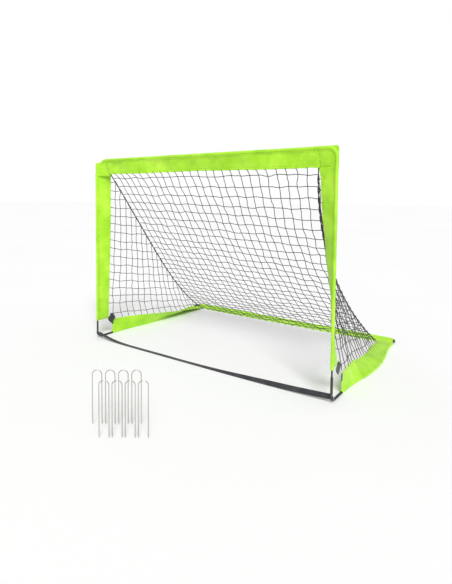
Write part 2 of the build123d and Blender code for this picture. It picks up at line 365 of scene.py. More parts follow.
def coated(name, dark, light, rough, coat=0.0):
    """Black rod or tube: a smooth coat with fine scuffs along it."""
    made = Shader(name, Coat_Weight=coat, Coat_Roughness=0.2)
    place = made.place()
    scuffs = made.grain(place, 90.0, 7.0)
    grain = made.grain(place, 900.0, 2.0)
    colours, roughness = [(0.35, dark), (0.75, light)], [(0.3, rough), (0.8, rough + 0.2)]
    return made.finish(scuffs, colours, roughness, made.bump(grain, 0.04 * MM, 0.5))


NEON = neon_fabric("neon_fabric")
BINDING = binding("black_binding")
WEBBING = webbing("dark_webbing")
NET = twine("net_twine", (0.014, 0.013, 0.016), (0.040, 0.038, 0.044))
CORD = twine("seam_cord", (0.012, 0.012, 0.014), (0.034, 0.034, 0.039))
THREAD = twine("stitch_thread", (0.035, 0.09, 0.008), (0.07, 0.17, 0.012))
SPRING_STEEL = metal("spring_steel", (0.30, 0.30, 0.32), (0.12, 0.12, 0.13), 0.28)
STAKE_STEEL = metal("stake_steel", (0.60, 0.585, 0.56), (0.44, 0.43, 0.42), 0.30, (1, 1, 0.2))
FIBREGLASS = coated("fibreglass", (0.010, 0.010, 0.011), (0.030, 0.030, 0.033), 0.32, 0.4)
TUBE = coated("black_tube", (0.014, 0.014, 0.016), (0.05, 0.05, 0.055), 0.42)


# ------------------------------------------------------------------ fabric bands
def ripple(s, t, seed):
    """Height of a band's folds at s along it and t across it: 0 at the rod, 1 at the net edge.

    Broad folds, sharp creases and small waves, and puckers along the hem's stitches."""
    lean = noise.noise(Vector((s * 3.1, seed, 4.7)))
    broad = noise.noise(Vector((s / 0.085 + 0.9 * lean * t, t * 0.7, seed)))
    crease = 1 - abs(noise.noise(Vector((s / 0.11 + t * 0.8, t * 0.35, seed + 9.3)))) * 3.4
    small = noise.noise(Vector((s / 0.024, t * 1.4, seed + 21.0)))
    loose = 2.2 * t * (1 - t) + 0.45 * min(1.0, t * 2.5)
    pucker = noise.noise(Vector((s / 0.0095, seed, 2.2))) * max(0.0, 1 - abs(t - 0.86) / 0.14)
    fold = 7.5 * broad + 5.0 * max(0.0, crease) ** 2 + 1.6 * small
    return MM * (loose * fold + 1.6 * pucker)


class Band:
    """A doubled strip of fabric that leaves a rod: where the rod runs and where it points."""

    def __init__(self, centres, aims, seed, calm=1.0):
        self.centres, self.aims = np.asarray(centres, float), unit(np.asarray(aims, float))
        steps = np.linalg.norm(np.diff(self.centres, axis=0), axis=1)
        self.s = np.concatenate([[0], np.cumsum(steps)])
        self.along = tangents(self.centres)
        self.length = self.s[-1]
        self.seed, self.calm = seed, calm
        self.start = lambda s: 0.0  # the flap starts this far from the rod's centre line
        self.flat_below = None  # the lowest height its cloth may reach
        self.taut = 0.0  # how much of the folds the stretched net edge takes away

    def at(self, s):
        """Rod centre, direction of the flap, direction along and direction across."""
        centre, aim, along = (
            np.array([np.interp(s, self.s, part[:, k]) for k in range(3)])
            for part in (self.centres, self.aims, self.along)
        )
        aim = unit(aim - along * (aim @ along))
        return centre, aim, along, np.cross(along, aim)

    def reach(self, s):
        """From the rod to the net edge: the net pulls it out a little at each knot."""
        uneven = 0.9 * noise.noise(Vector((s / 0.05, self.seed, 8.8)))
        return FLAP + MM * (uneven - 0.3 + 0.7 * cos(2 * pi * s / KNOT_PITCH))

    def surface(self, s, a, height=0.0):
        """The point at s along the rod and a away from it, this high over the mid surface.

        The folds fade towards the band's two ends, and a taut net edge takes some away."""
        centre, aim, along, across = self.at(s)
        t = a / FLAP
        fade = min(1.0, s / 0.02, (self.length - s) / 0.02)
        lift = ripple(s, t, self.seed) * self.calm * (0.35 + 0.65 * max(0.0, fade))
        lift *= 1 - self.taut * min(1.0, t) ** 2
        point = centre + aim * a + across * (lift + height)
        if self.flat_below is not None:
            point[2] = max(point[2], self.flat_below + max(0.0, height))
        return point


def flap_profile(start, reach):
    """Rows of a flap's cross-section: distance from the rod and half thickness."""
    seat = max(start, SLEEVE_R * 0.75)
    rows = [(seat, 3.2 * MM), (seat + 2.2 * MM, 2.1 * MM), (seat + 5 * MM, 1.25 * MM)]
    rows += [(seat + 9 * MM, LAYER)]
    inner, hem = seat + 13 * MM, reach - HEM
    rows += [(inner + (hem - 4 * MM - inner) * i / 6, LAYER) for i in range(7)]
    rows += [(hem - 1.2 * MM, LAYER), (hem, 0.55 * LAYER), (hem + 1.2 * MM, 1.25 * LAYER)]
    rows += [(hem + 4 * MM, 1.5 * LAYER), (reach - 2 * MM, 1.5 * LAYER)]
    rows += [(reach - 0.5 * MM, 1.1 * LAYER), (reach, 0.35 * LAYER)]
    return rows


def flap(name, band):
    """The flat part of a band, with its hem, closed round its edges."""
    count = max(2, round(band.length / STATION)) + 1
    rings, cloth = [], []
    for s in np.linspace(0, band.length, count):
        rows = flap_profile(band.start(s), band.reach(s))
        front = [band.surface(s, a, h) for a, h in rows]
        back = [band.surface(s, a, -h) for a, h in reversed(rows)]
        rings.append(front + back)
        cloth += [(s, a, 0) for a, h in rows] + [(s, -a, 0) for a, h in reversed(rows)]
    return swept(name, rings, NEON, cloth)


def channel(name, band):
    """The fabric tube round the rod, open at both ends."""
    count, around, wall = max(2, round(band.length / STATION)) + 1, 14, 0.45 * MM
    outer, inner, cloth = [], [], []
    for s in np.linspace(0, band.length, count):
        centre, aim, along, across = band.at(s)
        ring = []
        for k in range(around):
            angle = 2 * pi * k / around
            soft = noise.noise(Vector((s / 0.028, 2.2 * cos(angle), 2.2 * sin(angle) + band.seed)))
            radius = SLEEVE_R + 0.55 * MM * soft * band.calm
            ring.append((radius, aim * cos(angle) + across * sin(angle)))
            cloth.append((s, SLEEVE_R * angle, 0))
        outer.append([centre + r * d for r, d in ring])
        inner.append([centre + (r - wall) * d for r, d in ring])
    cloth = np.array(cloth)
    cloth = np.concatenate([cloth, cloth.reshape(count, around, 3)[::-1].reshape(-1, 3)])
    return swept(name, outer + inner[::-1], NEON, cloth, looped=True)


def stitches(name, seams):
    """Thread showing along seams: each seam gives a point and a normal for a length."""
    verts, faces = [], []
    for place, length in seams:
        for s in np.arange(STITCH_PITCH, length - STITCH_PITCH, STITCH_PITCH):
            a, b = place(s - 0.3 * STITCH_PITCH), place(s + 0.3 * STITCH_PITCH)
            mid, run = (a[0] + b[0]) / 2, unit(b[0] - a[0])
            side = np.cross(run, a[1])
            first = len(verts)
            verts += [a[0] - a[1] * 0.2 * MM, b[0] - b[1] * 0.2 * MM]
            verts += [mid + side * 0.5 * MM, mid + a[1] * 0.45 * MM, mid - side * 0.5 * MM]
            verts += [mid - a[1] * 0.3 * MM]
            for k in range(4):
                p, q = first + 2 + k, first + 2 + (k + 1) % 4
                faces += [(first, p, q), (first + 1, q, p)]
    return build(name, verts, faces, THREAD)


def band_seams(band):
    """The four lines of stitches on a band: hem and channel, front and back."""
    seams = []
    for face in (1, -1):
        for from_rod in (CHANNEL_SEAM, FLAP - HEM):

            def place(s, face=face, from_rod=from_rod):
                point = band.surface(s, from_rod, face * (LAYER + 0.1 * MM))
                return point, band.at(s)[3] * face

            seams.append((place, band.length))
    return seams


def crossbar_band():
    xs = np.linspace(-INNER_X - 0.004, INNER_X + 0.004, 60)
    tilt = radians(CROSSBAR_TILT)
    centres = [(x, 0, TOP_Z) for x in xs]
    aims = [(0, sin(tilt * (0.75 + 0.25 * cos(3 * pi * x))), -cos(tilt)) for x in xs]
    return Band(centres, aims, 1.5)


def upright_band(side, sign):
    low, high = SLEEVE_LOW[side], TOP_Z - FLAP + 0.004
    zs = np.linspace(low, high, 50)
    aims = []
    for z in zs:
        share = (high - z) / (high - low)
        twist = radians(TWIST_HIGH[side] + (TWIST_LOW - TWIST_HIGH[side]) * share)
        aims.append((-sign * cos(twist), sin(twist), 0))
    return Band([(sign * HALF_W, 0, z) for z in zs], aims, 11.5 + 4 * sign)


def bow(y):
    """How far a side rail has bent towards +X: three tangent arcs of one radius."""
    half = (BOW_REAR - BOW_FRONT) / 2
    turn = 2 * atan(RAIL_BOW / half)
    radius = half / (2 * sin(turn))
    inwards = half - abs(y - (BOW_FRONT + BOW_REAR) / 2)
    if inwards <= 0:
        return 0.0
    if inwards < half / 2:
        return radius - sqrt(radius**2 - inwards**2)
    return RAIL_BOW - radius + sqrt(radius**2 - (half - inwards) ** 2)


def side_band(sign):
    ys = np.linspace(SLEEVE_FRONT, DEPTH - FLAP, 50)
    centres = [(sign * HALF_W + bow(y), y, BASE_Z) for y in ys]
    aims = []
    for y, (x, _, _) in zip(ys, centres):
        share = (y - ys[0]) / (ys[-1] - ys[0])
        turn = radians(90 - RAIL_TURN * share)
        if sign > 0:  # the rail bows out, but the stretched net edge runs straight to the ground
            edge = HALF_W - FLAP * share, BASE_Z + FLAP * 0.93 * (1 - share) - 0.005 * share
            turn = atan2(edge[1] - BASE_Z, x - edge[0])
        aims.append((-sign * cos(turn), 0, sin(turn)))
    made = Band(centres, aims, 31.5 + 4 * sign, 0.6)
    made.flat_below, made.taut = 0.3 * MM, 0.75
    return made


def rear_band():
    reach = HALF_W - 0.3 * MM
    xs = np.linspace(-reach, reach, 90)
    made = Band([(x, DEPTH, BASE_Z) for x in xs], [(0, -1, -REAR_DIP)] * len(xs), 51.0, 0.7)
    made.flat_below = 0.3 * MM

    def start(s):
        """In the rounded corners the flap starts on the elbow's arc."""
        past = abs(s - reach) - (HALF_W - BEND_R)
        return 0.0 if past <= 0 else BEND_R - sqrt(max(0.0, BEND_R**2 - past**2))

    made.start = start
    return made


def rear_tube_band():
    """The rear tube runs most of the way round the two elbows."""
    centres, aims, count = [], [], 9
    for sign in (-1, 1):
        for degrees in np.linspace(0, REAR_WRAP, count):
            turn = radians(degrees)
            x = HALF_W - BEND_R * (1 - sin(turn))
            centres.append((sign * x, DEPTH - BEND_R * (1 - cos(turn)), BASE_Z))
            aims.append((-sign * sin(turn), -cos(turn), -REAR_DIP))
    straight = [(x, DEPTH, BASE_Z) for x in np.linspace(BEND_R - HALF_W, HALF_W - BEND_R, 60)]
    # the left elbow backwards, the bar, the right elbow, without the points that the bar has too
    centres = centres[count - 1:0:-1] + straight + centres[count + 1:]
    aims = aims[count - 1:0:-1] + [(0, -1, -REAR_DIP)] * len(straight) + aims[count + 1:]
    return Band(centres, aims, 51.0, 0.7)


def lay_flat(piece):
    """Nothing of the piece lies under the ground."""
    for vertex in piece.data.vertices:
        vertex.co.z = max(vertex.co.z, 0.0)


# ------------------------------------------------------------------ corner covers
def plate(name, cells, point, material):
    """Two skins of cells by cells squares, joined round their rim.

    point gives, for a square's corner, the middle, the half thickness as a vector, and the
    place on the flat cloth."""
    middles = [point(i / cells, j / cells) for i in range(cells + 1) for j in range(cells + 1)]
    verts = [m - half for m, half, flat in middles] + [m + half for m, half, flat in middles]
    n, faces = cells + 1, []
    for i in range(cells):
        for j in range(cells):
            a = i * n + j
            faces.append((a, a + 1, a + n + 1, a + n))
            faces.append(tuple(n * n + k for k in (a, a + n, a + n + 1, a + 1)))
    rim = list(range(n)) + [i * n + cells for i in range(1, n)]
    rim += [cells * n + j for j in reversed(range(cells))]
    rim += [i * n for i in reversed(range(1, cells))]
    for a, b in zip(rim, rim[1:] + rim[:1]):
        faces.append((a, b, b + n * n, a + n * n))
    return build(name, verts, faces, material, [flat for m, half, flat in middles] * 2)


class Cover:
    """The patch over a top corner, two skins that part round the bent tube.

    A spot on it is given by two distances: across, inwards from the upright's line, and
    down, from the crossbar's line."""

    over = 0.007  # it laps this far over the two bands
    outer = SLEEVE_R + 0.5 * MM  # and reaches this far out of the frame's lines
    size = FLAP + outer + over
    spread = 1.15  # its squares are smaller near the outer edges
    rounding = 0.009  # size of the rounding at its outer corner

    def __init__(self, side, sign):
        self.sign, self.seed = sign, 71.0 + 5 * sign
        self.bend = TOP_BEND[side]
        self.drop = TOP_Z + SLEEVE_R - SLUMP_Z if side == "left" else 0.0

    def from_tube(self, across, down):
        """Distance from the bent tube's centre line, below 0 outside it."""
        if across < self.bend and down < self.bend:
            return self.bend - hypot(self.bend - across, self.bend - down)
        return min(across, down)

    def top(self, across):
        """The upper outline: straight, or slumped down to the bent tube at a loose corner."""
        bent = self.from_tube_top(across)
        return max(-self.outer, min(self.drop, bent) - self.outer)

    def from_tube_top(self, across):
        """How far the tube's centre line lies under the crossbar's line here."""
        if across <= 0:
            return self.bend
        if across >= self.bend:
            return 0.0
        return self.bend - sqrt(self.bend**2 - (self.bend - across) ** 2)

    def middle(self, across, down):
        """The point half way between the two skins."""
        p, q = max(0.0, across) / FLAP, max(0.0, down) / FLAP
        loose = min(1.0, 2 * p * q + 0.25)
        wave = noise.noise(Vector((p * 1.6 + q * 0.5, q * 1.3, self.seed))) * 4.2 * loose
        wave += noise.noise(Vector((p * 5, q * 5, self.seed))) * 1.1
        outside = min(1.0, max(0.0, -self.from_tube(across, down) - self.outer) / 0.008)
        wave += outside * 1.5 * noise.noise(Vector((across * 160, down * 160, self.seed)))
        y = CORNER_PULL * p * q + MM * wave
        return np.array([self.sign * (HALF_W - across), y, TOP_Z - down])

    def half(self, across, down):
        """Half the thickness: round over the tube, then a doubled cloth."""
        d = self.from_tube(across, down)
        tube = sqrt(max(0.0, 1 - (d / self.outer) ** 2)) * self.outer * 1.08
        tent = self.outer * 0.62 * max(0.0, 1 - max(0.0, d - self.outer * 0.6) / 0.010) ** 2
        return max(LAYER * 1.7, tube, tent if d > 0 else 0.0)

    def point(self, u, v):
        """What plate asks for, at the shares u inwards and v downwards."""
        u, v = u**self.spread, v**self.spread
        across = u * self.size - self.outer
        top = self.top(across)
        down = top + v * (self.size - self.outer - top)
        a = max(0.0, 1 - u * self.size / self.rounding)
        b = max(0.0, 1 - v * self.size / self.rounding)
        pinch = self.rounding * (1 - 1 / sqrt(1 + a * a * b * b))
        across, down = across + pinch, down + pinch
        rim = min(u, v) == 0 and abs(self.from_tube(across, down)) > self.outer * 0.98
        half = LAYER * 0.5 if rim else self.half(across, down)
        return self.middle(across, down), np.array([0, half, 0]), (across, down, 0)

    def edge(self, vertical, face):
        """The line of stitches along one lapped edge."""
        inward = FLAP + self.over - 3 * MM

        def place(s):
            spot = (inward, s - self.outer) if vertical else (s - self.outer, inward)
            raised = np.array([0, face * LAYER * 1.9, 0])
            return self.middle(*spot) + raised, np.array([0, face, 0.0])

        return place


def corner_cover(side, sign):
    """A corner's patch and its stitches."""
    cover = Cover(side, sign)
    piece = plate("corner_cover_" + side, 46, cover.point, NEON)
    lines = [(cover.edge(vertical, face), cover.size - cover.over - 0.01)
             for vertical in (True, False) for face in (1, -1)]
    thread = stitches("corner_stitches_" + side, lines)
    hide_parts("corner_patch_" + side)
    return piece, thread


# ------------------------------------------------------------------ net
def hang(t):
    """The net's slope at the share t of the way down, as (y, z)."""
    tilt = radians(CROSSBAR_TILT)
    high = np.array([FLAP * sin(tilt), TOP_Z - FLAP * cos(tilt)])
    low = np.array([DEPTH - FLAP, 1.2 * MM])
    return high + (low - high) * t - NET_SAG * 4 * t * (1 - t) * sqrt(0.5)


def seam_point(sign, t):
    """The seam between the slope and a side net: it pulls in, most of all in its upper half."""
    y, z = hang(t)
    return np.array([sign * (SEAM_X - SEAM_IN[sign] * 4 * t * (1 - t) * (1.3 - t)), y, z])


def early(share):
    """The side nets' knots lie closer together at the front than at the rear."""
    return share - SIDE_EARLY * 4 * share * (1 - share)


def shaken(grid, inside, amount):
    """The grid with its inner knots moved a little, the same way on every run."""
    move = random.uniform(-1, 1, grid.shape) * np.array(amount)
    return grid + move * inside[..., None]


def back_grid(crossbar, rear):
    """Knots of the back net, by row down the slope and column across."""
    rows, columns = SLOPE_SQUARES + 1, CROSS_SQUARES + 1
    grid = np.zeros((rows, columns, 3))
    inside = np.zeros((rows, columns))
    for i in range(rows):
        for j in range(columns):
            v, share = max(0.0, i - TOP_ROW) / (SLOPE_SQUARES - TOP_ROW), j / CROSS_SQUARES
            u = 2 * share - 1
            stretched = 0.09 + 0.07 * u + 0.02 * sin(9 * u) * v  # rows further apart at the top
            t = v + stretched * v * (1 - v)
            x = seam_point(-1, t)[0] * (1 - share) + seam_point(1, t)[0] * share
            grid[i, j] = (x, *hang(t))
            if i == 0 and 0 < j < CROSS_SQUARES:
                grid[i, j] = crossbar.surface(x - crossbar.centres[0][0], FLAP - KNOT_INSET)
            if i == SLOPE_SQUARES and 0 < j < CROSS_SQUARES:
                grid[i, j] = rear.surface(x - rear.centres[0][0], FLAP - KNOT_INSET)
            inside[i, j] = 0 < i < SLOPE_SQUARES and 0 < j < CROSS_SQUARES
    return shaken(grid, inside, BACK_SHAKE), inside


def side_grid(side, sign, upright, rail):
    """Knots of a side net: g back along the side band, h up along the upright's band."""
    n = SIDE_SQUARES
    foot = np.array(middle("net_tab_" + side))
    top, rear = seam_point(sign, 0.0), seam_point(sign, 1.0)

    def on_seam(g):
        return seam_point(sign, early(g))

    def on_band(band, s, share):
        """A knot on a band's net edge. The first tenth of the knots runs to the tab."""
        point = band.surface(min(band.length, max(0.0, s)), FLAP - KNOT_INSET)
        near = min(1.0, share * 10)
        return foot * (1 - near) + point * near if share < 0.1 else point

    def on_upright(h):
        z = foot[2] + (top[2] - foot[2]) * h
        return on_band(upright, z - SLEEVE_LOW[side], h)

    def on_rail(g):
        y = foot[1] + (rear[1] - foot[1]) * early(g)
        s = (y - SLEEVE_FRONT) * rail.length / (DEPTH - FLAP - SLEEVE_FRONT)
        return on_band(rail, s, g)

    grid = {}
    for j in range(n + 1):
        h = j / n
        for i in range(n + 1 - j):
            g = i / n
            if i + j == n:
                grid[i, j] = on_seam(g)
                continue
            if i == 0:
                grid[i, j] = on_upright(h)
                continue
            row = on_upright(h) + (on_seam(1 - h) - on_upright(h)) * g / (1 - h)
            base = foot + (rear - foot) * early(g)
            point = row + (on_rail(g) - base) * (1 - h / (1 - g))
            if j > 0:
                bubble = 27 * g * h * (1 - g - h)  # 1 in the middle of the triangle
                point += np.array([-sign * SIDE_BELLY[0], 0.0, -SIDE_BELLY[1]]) * bubble
                point[2] += SIDE_LIFT * (1 - h) * min(1.0, g * 7) * (1 - g - h)
                point += random.uniform(-1, 1, 3) * np.array(SIDE_SHAKE)
            grid[i, j] = point
    return grid


def wavy(points, sway=0.0014):
    """A thread through its knots, never quite straight between them."""
    line = smooth_line(points, SUB_POINTS)
    shift = random.uniform(-1, 1, line.shape) * sway
    shift[::SUB_POINTS] = 0
    return line + shift


def knots(name, places, size=2.1 * MM):
    """Small lumps where two threads are tied."""
    ball = bmesh.new()
    bmesh.ops.create_icosphere(ball, subdivisions=1, radius=1.0)
    base = np.array([v.co for v in ball.verts])
    shape = [tuple(v.index for v in f.verts) for f in ball.faces]
    ball.free()
    verts, faces = [], []
    for place in places:
        stretch = np.array([1.25, 0.8, 1.0]) * size * random.uniform(0.85, 1.15)
        angle = random.uniform(0, pi)
        spin = np.array(Matrix.Rotation(angle, 3, "Y")) @ np.array(Matrix.Rotation(angle, 3, "X"))
        first = len(verts)
        verts += list(place + (base * stretch) @ spin.T)
        faces += [tuple(first + k for k in f) for f in shape]
    return build(name, verts, faces, NET)


def net_loops(name, band, xs):
    """Small loops of twine that tie the net to a band's hem: each goes round the edge."""
    lines = []
    for x in xs:
        s = x - band.centres[0][0]
        centre, aim, along, across = band.at(s)
        edge = band.surface(s, FLAP)
        line = []
        for k in range(9):
            angle = 2 * pi * k / 8
            inwards = aim * (2.6 * MM - 3.2 * MM * cos(angle))
            line.append(edge - inwards + across * 1.9 * MM * sin(angle))
        lines.append(np.array(line))
    return tubes(name, lines, 0.85 * MM, 5, NET)


def back_net(crossbar, rear):
    grid, inside = back_grid(crossbar, rear)
    lines = [wavy(row) for row in grid[1:-1]] + [wavy(grid[:, j]) for j in range(1, CROSS_SQUARES)]
    threads = tubes("net_back", lines, TWINE_R, 5, NET)
    lumps = knots("net_back_knots", grid[inside > 0])
    piece = join([threads, lumps])
    return piece, grid


def side_net(side, sign, upright, rail):
    n = SIDE_SQUARES
    grid = side_grid(side, sign, upright, rail)
    rows = [[grid[i, j] for i in range(n + 1 - j)] for j in range(1, n)]
    columns = [[grid[i, j] for j in range(n + 1 - i)] for i in range(1, n)]
    lines = [wavy(np.array(line)) for line in rows + columns]
    lumps = [grid[i, j] for i, j in grid if i > 0 and j > 0 and i + j < n]
    name = "net_side_" + side
    piece = join([tubes(name, lines, TWINE_R, 5, NET), knots(name + "_knots", lumps)])
    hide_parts(name)
    return piece, grid


def seam_cord(side, sign):
    """Two cords laced together down the seam, with a knot at each row of the net."""
    ts = np.linspace(0, 1, SLOPE_SQUARES * 6 + 1)
    centre = np.array([seam_point(sign, t) for t in ts])
    along = tangents(centre)
    across = unit(np.cross(along, (1.0, 0, 0)))
    third = np.cross(along, across)
    ease = np.clip(np.minimum(ts, 1 - ts) * 30, 0, 1)  # both cords end on the seam's ends
    lines = []
    for phase in (0, pi):
        angle = ts * SLOPE_SQUARES * pi + phase
        sway = (np.cos(angle) * ease * 2.6 * MM)[:, None] * third
        sway += (np.sin(angle) * ease * 2.0 * MM)[:, None] * across
        lines.append(centre + sway)
    name = "net_corner_cord_" + side
    cords = tubes(name, lines, 1.75 * MM, 6, CORD)
    places = [seam_point(sign, i / SLOPE_SQUARES) for i in range(1, SLOPE_SQUARES)]
    piece = join([cords, knots(name + "_knots", places, 3.6 * MM)])
    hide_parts(name)
    return piece


def tab(side):
    """A stiff square tab on its corner: a dished plate with a raised hem."""
    centre = np.array(middle("net_tab_" + side))
    size, lean = 0.0300, 0.05

    def point(u, v):
        a, b = 2 * u - 1, 2 * v - 1
        corner = 1 - 0.10 * a * a * b * b
        y, z = (a + b) / 2 * size * corner, (b - a) / 2 * size * corner
        rim = max(abs(a), abs(b))
        half = MM * (0.35 if rim > 0.99 else 1.0 if rim > 0.75 else 0.7)
        dish = 1.2 * MM * noise.noise(Vector((a, b, 3.0)))
        return centre + np.array([dish, y + lean * z, z]), np.array([half, 0, 0]), (y, z, 0)

    piece = plate("net_tab_" + side + "_piece", 12, point, BINDING)
    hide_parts("net_tab_" + side)
    return piece


def binding_strip(side, band):
    """Black tape folded over the upper part of a side band's front edge."""
    centre, aim, along, across = band.at(0.0)
    rings = []
    for share in np.linspace(0, 1, 9):
        base = centre + aim * (FLAP * (0.62 + 0.375 * share))
        loop = []
        for k in range(12):
            angle = 2 * pi * k / 12
            fat = 1.9 * MM * (1 + 0.12 * noise.noise(Vector((share * 6, angle, 1.0))))
            wide = 4.2 * MM * cos(angle) + 2.4 * MM
            loop.append(base + along * wide + across * fat * sin(angle))
        rings.append(loop)
    return swept("side_binding_" + side, rings, BINDING)


# ------------------------------------------------------------------ strap and corner springs
STRAP_W, STRAP_T = 0.020, 0.0016
STRAP_POINTS = [
    (-0.596, 0.027, 0), (-0.536, 0.014, 0), (-0.470, 0.005, 0), (-0.400, 0.0012, 0),
    (-0.200, 0.001, 0), (0.0, 0.001, 0), (0.140, 0.0028, 12), (0.277, 0.0068, 30),
    (0.440, 0.0125, 55), (0.520, 0.017, 65), (0.596, 0.022, 72),
]  # x, height of the centre line and roll in degrees
STRAP_SPLITS = (-0.469, 0.441)  # the middle lies on the ground, the two tails bend in a fold
LOOP_PLACE = {"left": 20.0, "right": 30.0}  # degrees down the corner's bend


def strap_turn(roll):
    """The directions across the webbing and out of its face."""
    across = np.array([0, cos(radians(roll)), sin(radians(roll))])
    return across, np.array([0, -across[2], across[1]])


def strap_section(x, z, roll):
    """A rounded rectangle of webbing with thicker selvedges."""
    across, up = strap_turn(roll)
    centre = np.array([x, STRAP_Y, z])
    edge = [(0.4, 0.85), (0.8, 0.85), (0.88, 1.05), (0.96, 1.0), (1, 0.35)]
    rows = [(-a, h) for a, h in reversed(edge)] + [(0, 0.85)] + edge
    half_w, half_t = STRAP_W / 2, STRAP_T / 2
    top = [centre + across * a * half_w + up * h * half_t for a, h in rows]
    low = [centre + across * a * half_w - up * h * half_t for a, h in reversed(rows)]
    cloth = [(x, a * half_w, 0) for a, h in rows]
    cloth += [(x, -a * half_w, 0) for a, h in reversed(rows)]
    return top + low, cloth


def strap_line(x):
    """The strap's height and its roll in degrees."""
    line = smooth_line(np.array(STRAP_POINTS), 12)
    return [np.interp(x, line[:, 0], line[:, k]) for k in (1, 2)]


def strap_piece(name, low, high):
    rings, cloth = [], []
    for x in np.linspace(low, high, max(3, round((high - low) / 0.008))):
        z, roll = strap_line(x)
        waves = 0.6 * MM * (1 + noise.noise(Vector((x / 0.12, 5.5, 0))))
        raised = waves * min(1, (HALF_W - abs(x)) / 0.1)
        ring, flat = strap_section(x, z + max(0.0, raised), roll)
        rings.append(ring)
        cloth += flat
    return swept(name, rings, WEBBING, cloth)


def bend_point(sign, turn):
    """A point on the centre line of a corner spring, this angle down its bend."""
    return np.array([sign * HALF_W, SPRING_R * (1 - cos(turn)), SPRING_TOP - SPRING_R * sin(turn)])


def strap_loop(side, sign):
    """Webbing sewn round the corner spring."""
    place = LOOP_PLACE[side]
    before, centre, after = (bend_point(sign, radians(place + step)) for step in (-1, 0, 1))
    axis = unit(after - before)
    inward = np.array([-sign, 0.0, 0.0])
    third = np.cross(axis, inward)
    inner, thick, width = 4.6 * MM, 1.5 * MM, 0.0155
    # across the webbing and through it, each as a share: the selvedges are rounded
    profile = [(-1, 0.2), (-0.95, 0), (0, 0.08), (0.95, 0), (1, 0.2)]
    profile += [(1, 0.8), (0.95, 1), (0, 0.94), (-0.95, 1), (-1, 0.8)]
    rings, cloth = [], []
    for k in range(28):
        angle = 2 * pi * k / 28
        pull = 1 + 0.5 * max(0.0, cos(angle)) ** 3
        ring = []
        for w, h in profile:
            away = (inner * pull + thick * h) * (inward * cos(angle) + third * sin(angle))
            ring.append(centre + away + axis * w * width / 2)
            cloth.append((angle * inner, w * width / 2, 0))
        rings.append(ring)
    return swept("strap_loop_" + side, rings, WEBBING, cloth, looped=True)


def bar_tacks(name, places, half=0.9 * MM):
    """Zigzag tacks across the strap on both faces, at these x and half as long as this."""
    lines = []
    for x in places:
        for face in (1, -1):
            line = []
            for k in range(17):
                share = k / 8 - 1
                across, up = strap_turn(strap_line(x)[1])
                shift = half * (1 if k % 2 else -1)
                base = np.array([x + shift, STRAP_Y, strap_line(x + shift)[0] + 0.4 * MM])
                line.append(base + across * share * STRAP_W * 0.42 + up * face * STRAP_T * 0.52)
            lines.append(np.array(line))
    return tubes(name, lines, 0.35 * MM, 4, CORD)


def corner_spring(side, sign):
    """A close-wound wire spring: its last turns are narrower and sit in the tubes."""
    wire, per_turn, gap = 0.72 * MM, 14, 0.12 * MM
    run_in, narrowed = 0.005, 0.9 * MM  # length of the last turns, and how much narrower they are
    bend = radians(90) * SPRING_R
    length = bend + 2 * run_in
    turns = int(length / (2 * wire + gap))
    points = []
    for k in range(turns * per_turn + 1):
        s = length * k / (turns * per_turn) - run_in
        turn = min(max(s / SPRING_R, 0.0), pi / 2)
        along = np.array([0, sin(turn), -cos(turn)])
        centre = bend_point(sign, turn) + along * (min(0.0, s) + max(0.0, s - bend))
        outwards = max(0.0, -s, s - bend)
        radius = SPRING_OUTER - wire - min(1.0, outwards / MM) * narrowed
        angle = 2 * pi * k / per_turn
        third = np.cross(along, (1.0, 0, 0))
        points.append(centre + radius * (np.array([cos(angle), 0, 0]) + third * sin(angle)))
    piece = tubes("corner_spring_" + side + "_coil", [np.array(points)], wire, 6, SPRING_STEEL)
    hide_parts("corner_spring_" + side)
    return piece


# ------------------------------------------------------------------ the object
def band_pieces(kind, tail, band, tube_band=None):
    """A band's flap, the tube round its rod and its stitches, in place of its sleeve."""
    flat = flap(kind + "_flap" + tail, band)
    tube = channel(kind + "_channel" + tail, tube_band or band)
    thread = stitches(kind + "_stitches" + tail, band_seams(band))
    for part in (flat, tube):
        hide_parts(kind + "_sleeve" + tail)
    for part in (flat, tube, thread):
        lay_flat(part)
    return flat, tube, thread


def hold_band(body, band, flat, tube, sewn_on, squashed=None):
    """Hangs the flap, its tube and what is sewn on it on the body. When squashed is given, the flap and
    what is sewn on it first get meshes of their own.
    """
    if squashed:
        for part in (flat, *sewn_on):
            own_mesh(part)
    for part in (flat, tube, *sewn_on):
        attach(part, body)


def make_front(crossbar, uprights):
    flat, tube, thread = band_pieces("crossbar", "", crossbar)
    hold_band("front_frame", crossbar, flat, tube, [thread])
    for side, sign in SIDES.items():
        band = uprights[side]
        flat, tube, thread = band_pieces("upright", "_" + side, band)
        hold_band("front_frame", band, flat, tube, [thread], ((0, 1, 0), (0, 0, 0), 0.09))
        for part in corner_cover(side, sign):
            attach(part, "front_frame")


def make_base(rails, rear):
    flat, tube, thread = band_pieces("rear", "", rear, rear_tube_band())
    hold_band("base", rear, flat, tube, [thread])
    for side, band in rails.items():
        flat, tube, thread = band_pieces("side", "_" + side, band)
        tape = binding_strip(side, band)
        folded = (0, 0, 1), (0, 0, BASE_Z), 0.12
        hold_band("base", band, flat, tube, [thread, tape], folded)


def fold_with_net(piece):
    """Bakes the piece's placement into its mesh."""
    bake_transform(piece)


def make_net(crossbar, rear, uprights, rails):
    piece, grid = back_net(crossbar, rear)
    lay_flat(piece)
    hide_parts("net_back")
    fold_with_net(piece)
    for name, band, row, body in (("crossbar", crossbar, 0, "front_frame"), ("rear", rear, -1, "base")):
        loops = net_loops("net_loops_" + name, band, grid[row, 1:-1, 0])
        lay_flat(loops)
        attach(loops, body)
    for side, sign in SIDES.items():
        piece, grid = side_net(side, sign, uprights[side], rails[side])
        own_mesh(piece)
        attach(piece, "base")
        cord = seam_cord(side, sign)
        lay_flat(cord)
        fold_with_net(cord)
        patch = tab(side)
        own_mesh(patch)
        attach(patch, "base")


